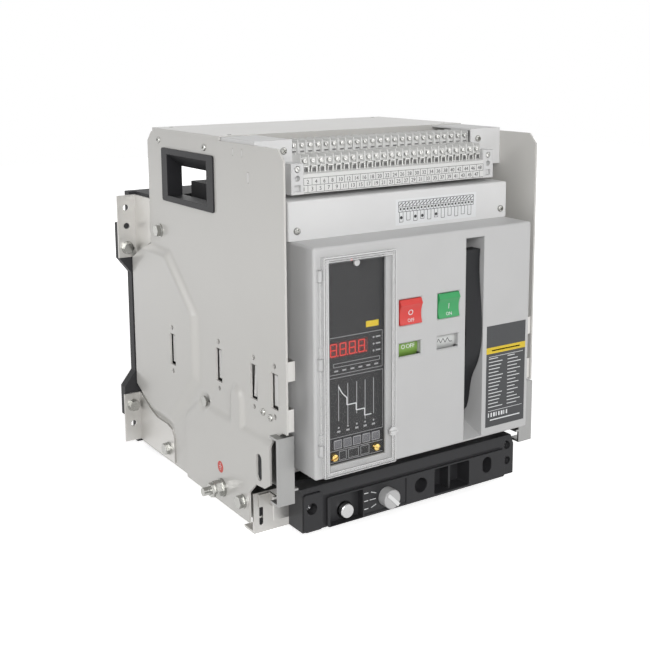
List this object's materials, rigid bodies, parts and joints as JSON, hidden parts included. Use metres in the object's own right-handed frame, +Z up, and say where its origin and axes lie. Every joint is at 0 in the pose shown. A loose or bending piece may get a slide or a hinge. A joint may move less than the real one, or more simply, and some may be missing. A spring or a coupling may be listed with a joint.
{
  "type": "air circuit breaker",
  "caption": "Withdrawable air circuit breaker in its cradle: racking screw, charging handle, push buttons, trip unit behind a hinged clear door, and contacts that close.",
  "frame": {"origin": "on the floor, at the centre of the cradle's foot bolts", "axes": "+X to the right of someone facing the front, +Y to the rear, +Z up"},
  "size_m": [0.41, 0.4765, 0.446],
  "materials": {
    "plate_paint": "satin",
    "black_moulding": "fine grain",
    "base_moulding": "moulded",
    "copper": "tinned copper",
    "zinc_sheet": "zinc plated",
    "zinc_bolt": "bright zinc",
    "rail_steel": "brushed",
    "steel_dark": "oiled steel",
    "terminal_plastic": "satin",
    "white_plastic": "satin",
    "cover_plastic": "fine grain",
    "trip_plastic": "satin",
    "clear_plastic": "clear",
    "latch_plastic": "smooth",
    "button_red": "gloss",
    "button_green": "gloss",
    "handle_plastic": "fine grain",
    "flag_white": "smooth",
    "flag_green": "smooth",
    "knob_metal": "turned",
    "lock_metal": "polished",
    "link_plastic": "laminate"
  },
  "bodies": {
    "cradle": {"side_plate_left": "plate_paint", "side_plate_right": "plate_paint", "window_frame_left": "black_moulding", "window_frame_right": "black_moulding", "top_cover": "plate_paint", "rear_base": "base_moulding", "upper_busbars": "copper", "lower_busbars": "copper", "wall_brackets_upper": "zinc_sheet", "wall_brackets_lower": "zinc_sheet", "base_pan": "zinc_sheet", "front_foot": "zinc_sheet", "rear_foot": "zinc_sheet", "front_beam": "black_moulding", "beam_brackets": "zinc_sheet", "rail_channels": "zinc_sheet", "guide_clips": "zinc_sheet", "terminal_block": "terminal_plastic", "terminal_ends": "terminal_plastic", "terminal_brackets": "white_plastic", "side_bolts": "zinc_bolt", "earth_bolts": "zinc_bolt", "clamp_bolts": "zinc_bolt", "screw_bearing": "steel_dark"},
    "left_rail": {"guide_rail_left": "rail_steel"},
    "right_rail": {"guide_rail_right": "rail_steel"},
    "racking_spindle": {"racking_screw": "steel_dark"},
    "racking_nut_bar": {"racking_carriage": "steel_dark"},
    "position_dial": {"position_knob": "knob_metal"},
    "lock": {"lock_button": "lock_metal"},
    "breaker": {"front_cover": "cover_plastic", "shoulder_cover": "white_plastic", "breaker_chassis": "zinc_sheet", "support_lugs": "steel_dark", "pole_base": "base_moulding", "arc_chutes": "base_moulding", "arc_splitters": "steel_dark", "upper_terminals": "copper", "lower_terminals": "copper", "finger_clusters": "copper", "current_transformers": "black_moulding", "mechanism_frame": "zinc_sheet", "closing_spring": "steel_dark", "trip_unit": "trip_plastic"},
    "trip_door": {"controller_door": "clear_plastic"},
    "trip_door_latch": {"door_latch": "latch_plastic"},
    "off_push": {"off_button": "button_red"},
    "on_push": {"on_button": "button_green"},
    "fault_reset": {"reset_button": "button_red"},
    "handle": {"charging_handle": "handle_plastic"},
    "cam_shaft": {"charging_cam": "steel_dark"},
    "charge_indicator": {"charge_flag": "flag_white"},
    "shaft": {"main_shaft": "steel_dark"},
    "links": {"contact_links": "link_plastic"},
    "contact_arms": {"moving_contacts": "copper"},
    "state_indicator": {"state_flag": "flag_green"}
  },
  "joints": [
    {"name": "rail_left_slide", "type": "slide", "parent": "cradle", "child": "left_rail", "axis": [0, -1, 0], "range_m": [0, 0.26]},
    {"name": "rail_right_slide", "type": "slide", "parent": "cradle", "child": "right_rail", "axis": [0, -1, 0], "range_m": [0, 0.26]},
    {"name": "racking_travel", "type": "slide", "parent": "cradle", "child": "racking_nut_bar", "axis": [0, -1, 0], "range_m": [0, 0.06]},
    {"name": "racking_screw_turn", "type": "hinge", "parent": "cradle", "child": "racking_spindle", "pos_m": [0.006, -0.188, 0.0416], "axis": [0, 1, 0], "range_deg": [0, 4320]},
    {"name": "position_knob_turn", "type": "hinge", "parent": "cradle", "child": "position_dial", "pos_m": [-0.043, -0.207, 0.04], "axis": [0, 1, 0], "range_deg": [0, 90]},
    {"name": "lock_press", "type": "slide", "parent": "cradle", "child": "lock", "axis": [0, 1, 0], "range_m": [0, 0.004], "stiffness_N_per_m": 300, "springref_m": -0.004},
    {"name": "breaker_withdraw", "type": "slide", "parent": "racking_nut_bar", "child": "breaker", "axis": [0, -1, 0], "range_m": [0, 0.26]},
    {"name": "door_swing", "type": "hinge", "parent": "breaker", "child": "trip_door", "pos_m": [-0.1454, -0.2309, 0.211], "axis": [0, 0, -1], "range_deg": [0, 95]},
    {"name": "latch_turn", "type": "hinge", "parent": "trip_door", "child": "trip_door_latch", "pos_m": [-0.055, -0.234, 0.128], "axis": [0, 1, 0], "range_deg": [0, 90]},
    {"name": "off_press", "type": "slide", "parent": "breaker", "child": "off_push", "axis": [0, 1, 0], "range_m": [0, 0.005], "stiffness_N_per_m": 300, "springref_m": -0.004},
    {"name": "on_press", "type": "slide", "parent": "breaker", "child": "on_push", "axis": [0, 1, 0], "range_m": [0, 0.005], "stiffness_N_per_m": 300, "springref_m": -0.004},
    {"name": "reset_press", "type": "slide", "parent": "breaker", "child": "fault_reset", "axis": [0, 1, 0], "range_m": [0, 0.003], "stiffness_N_per_m": 100, "springref_m": -0.003},
    {"name": "handle_pull", "type": "hinge", "parent": "breaker", "child": "handle", "pos_m": [0.0655, -0.192, 0.126], "axis": [1, 0, 0], "range_deg": [0, 70], "stiffness_Nm_per_rad": 0.4, "springref_deg": -28.65},
    {"name": "cam_turn", "type": "hinge", "parent": "breaker", "child": "cam_shaft", "pos_m": [0, -0.115, 0.128], "axis": [1, 0, 0], "range_deg": [0, 180]},
    {"name": "charge_flag_turn", "type": "hinge", "parent": "breaker", "child": "charge_indicator", "pos_m": [0.0275, -0.201, 0.2145], "axis": [-1, 0, 0], "range_deg": [0, 50]},
    {"name": "main_shaft_turn", "type": "hinge", "parent": "breaker", "child": "shaft", "pos_m": [0, -0.07, 0.203], "axis": [1, 0, 0], "range_deg": [0, 50]},
    {"name": "link_swing", "type": "hinge", "parent": "shaft", "child": "links", "pos_m": [0, -0.07845, 0.18487], "axis": [1, 0, 0], "range_deg": [-50, 0]},
    {"name": "contact_swing", "type": "hinge", "parent": "breaker", "child": "contact_arms", "pos_m": [0, 0.015, 0.149], "axis": [-1, 0, 0], "range_deg": [0, 22]},
    {"name": "state_flag_turn", "type": "hinge", "parent": "breaker", "child": "state_indicator", "pos_m": [-0.026, -0.201, 0.2145], "axis": [-1, 0, 0], "range_deg": [0, 50]}
  ],
  "couplings": [
    {"joint": "racking_screw_turn", "follows": "racking_travel", "rad_per_m": 1256.6},
    {"joint": "position_knob_turn", "follows": "racking_travel", "rad_per_m": 26.18},
    {"joint": "charge_flag_turn", "follows": "cam_turn", "ratio": 0.27778},
    {"joint": "link_swing", "follows": "main_shaft_turn", "ratio": -1},
    {"joint": "contact_swing", "follows": "main_shaft_turn", "ratio": 0.44},
    {"joint": "state_flag_turn", "follows": "main_shaft_turn", "ratio": 1}
  ]
}
